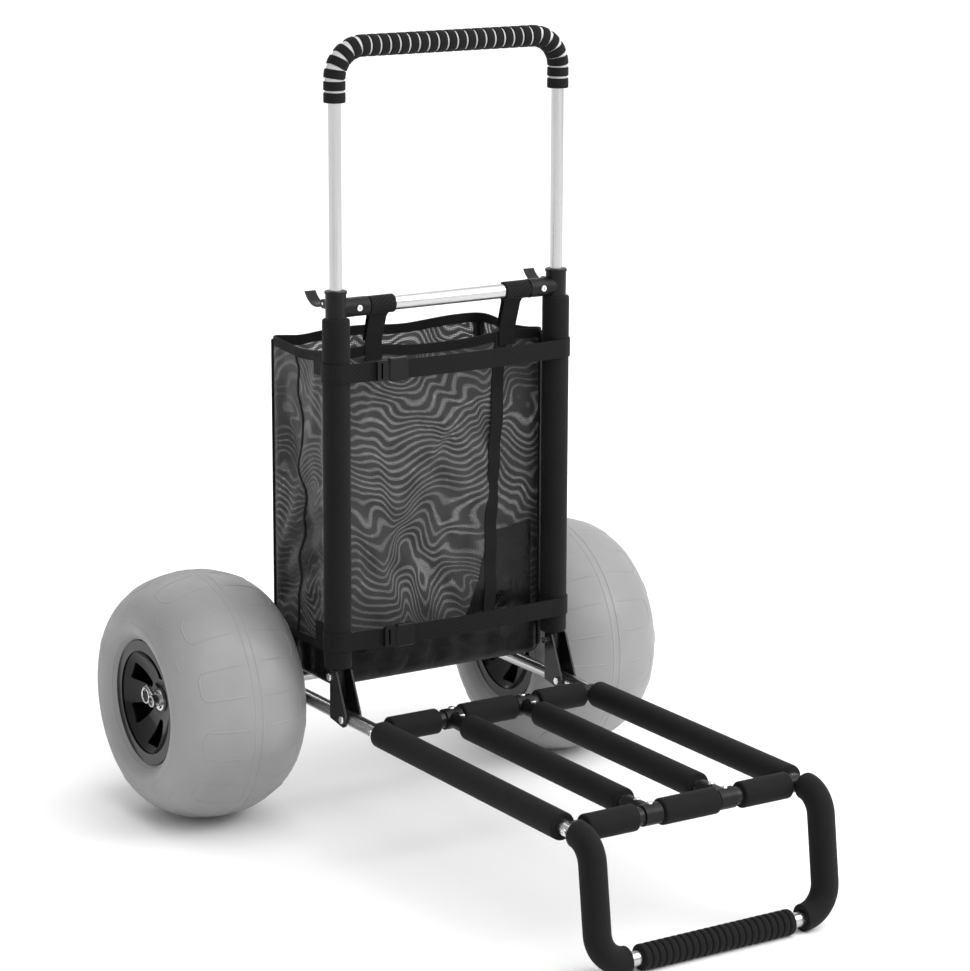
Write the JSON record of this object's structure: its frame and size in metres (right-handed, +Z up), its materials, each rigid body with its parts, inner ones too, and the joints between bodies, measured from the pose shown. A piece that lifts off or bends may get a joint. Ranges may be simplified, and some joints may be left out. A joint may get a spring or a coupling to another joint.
{
  "type": "beach cart",
  "caption": "Folding two-wheeled beach cart with a padded tube deck, foot loop, telescoping pull handle, mesh bag and fat balloon tyres.",
  "frame": {"origin": "on the floor, at the middle of the cart's width and length", "axes": "+Z up, +Y towards the wheels and the bag, -Y towards the foot loop, +X to the right seen from the foot loop"},
  "size_m": [0.753, 0.959, 1.044],
  "materials": {
    "bare_aluminium": "satin drawn aluminium",
    "black_tube": "semi-gloss black powder coat",
    "black_foam": "matt closed-cell foam",
    "black_plastic": "lightly grained moulding",
    "gloss_hub": "gloss black moulding",
    "grey_tyre": "smooth light grey balloon tyre",
    "zinc_steel": "bright zinc plate",
    "black_webbing": "woven tape",
    "mesh_fabric": "open knitted mesh",
    "coated_fabric": "shiny coated nylon",
    "nylon_bush": "moulded nylon"
  },
  "bodies": {
    "deck": {"left_side_rail": "bare_aluminium", "right_side_rail": "bare_aluminium", "foot_loop_tube": "bare_aluminium", "rear_crossbar": "black_tube", "front_crossbar": "black_tube", "crossbar_plugs": "black_plastic", "rail_screws": "zinc_steel", "left_mid_bar": "bare_aluminium", "right_mid_bar": "bare_aluminium", "mid_bar_connectors": "black_plastic", "connector_rivets": "zinc_steel", "rail_foams": "black_foam", "mid_bar_foams": "black_foam", "rear_crossbar_foams": "black_foam", "front_crossbar_foams": "black_foam", "foot_leg_foams": "black_foam", "foot_grip": "black_foam", "axle": "bare_aluminium", "left_axle_socket": "bare_aluminium", "right_axle_socket": "bare_aluminium", "axle_spacers": "zinc_steel", "pivot_bolts": "zinc_steel"},
    "back": {"left_bracket": "black_tube", "right_bracket": "black_tube", "upper_bolts": "zinc_steel", "left_upright": "black_tube", "right_upright": "black_tube", "left_collar": "black_plastic", "right_collar": "black_plastic", "upper_bar": "bare_aluminium", "collar_rivets": "zinc_steel", "lever_pins": "zinc_steel", "upright_foams": "black_foam", "bag_front": "mesh_fabric", "bag_back": "mesh_fabric", "bag_left_side": "mesh_fabric", "bag_right_side": "mesh_fabric", "bag_floor": "coated_fabric", "bag_tabs": "black_webbing", "upper_strap": "black_webbing", "lower_strap": "black_webbing", "upper_buckle": "black_plastic", "lower_buckle": "black_plastic"},
    "handle": {"handle_tube": "bare_aluminium", "handle_grip": "black_foam"},
    "left_lever": {"left_clamp_lever": "black_plastic"},
    "left_wheel": {"left_tyre": "grey_tyre", "left_hub": "gloss_hub", "left_hub_bushes": "nylon_bush", "left_valve": "zinc_steel"},
    "left_pin": {"left_axle_pin": "zinc_steel"},
    "left_ring": {"left_pin_ring": "zinc_steel"},
    "right_lever": {"right_clamp_lever": "black_plastic"},
    "right_wheel": {"right_tyre": "grey_tyre", "right_hub": "gloss_hub", "right_hub_bushes": "nylon_bush", "right_valve": "zinc_steel"},
    "right_pin": {"right_axle_pin": "zinc_steel"},
    "right_ring": {"right_pin_ring": "zinc_steel"}
  },
  "joints": [
    {"name": "back_fold", "type": "hinge", "parent": "deck", "child": "back", "pos_m": [0, 0.1115, 0.165], "axis": [1, 0, 0], "range_deg": [0, 83]},
    {"name": "handle_slide", "type": "slide", "parent": "back", "child": "handle", "axis": [0, 0, 1], "range_m": [-0.235, 0]},
    {"name": "left_lever_flip", "type": "hinge", "parent": "back", "child": "left_lever", "pos_m": [-0.1675, 0.1625, 0.704], "axis": [1, 0, 0], "range_deg": [0, 60]},
    {"name": "left_wheel_spin", "type": "hinge", "parent": "deck", "child": "left_wheel", "pos_m": [-0.28, 0.3145, 0.165], "axis": [1, 0, 0], "continuous": true},
    {"name": "left_pin_pull", "type": "slide", "parent": "deck", "child": "left_pin", "axis": [0, 0.8829, 0.4695], "range_m": [0, 0.0225]},
    {"name": "left_ring_swing", "type": "hinge", "parent": "left_pin", "child": "left_ring", "pos_m": [-0.3503, 0.33657, 0.17674], "axis": [0, 1, 0], "range_deg": [0, 70]},
    {"name": "right_lever_flip", "type": "hinge", "parent": "back", "child": "right_lever", "pos_m": [0.1675, 0.1625, 0.704], "axis": [1, 0, 0], "range_deg": [0, 60]},
    {"name": "right_wheel_spin", "type": "hinge", "parent": "deck", "child": "right_wheel", "pos_m": [0.28, 0.3145, 0.165], "axis": [1, 0, 0], "continuous": true},
    {"name": "right_pin_pull", "type": "slide", "parent": "deck", "child": "right_pin", "axis": [0, 0.8829, 0.4695], "range_m": [0, 0.0225]},
    {"name": "right_ring_swing", "type": "hinge", "parent": "right_pin", "child": "right_ring", "pos_m": [0.3503, 0.33657, 0.17674], "axis": [0, 1, 0], "range_deg": [-70, 0]}
  ]
}
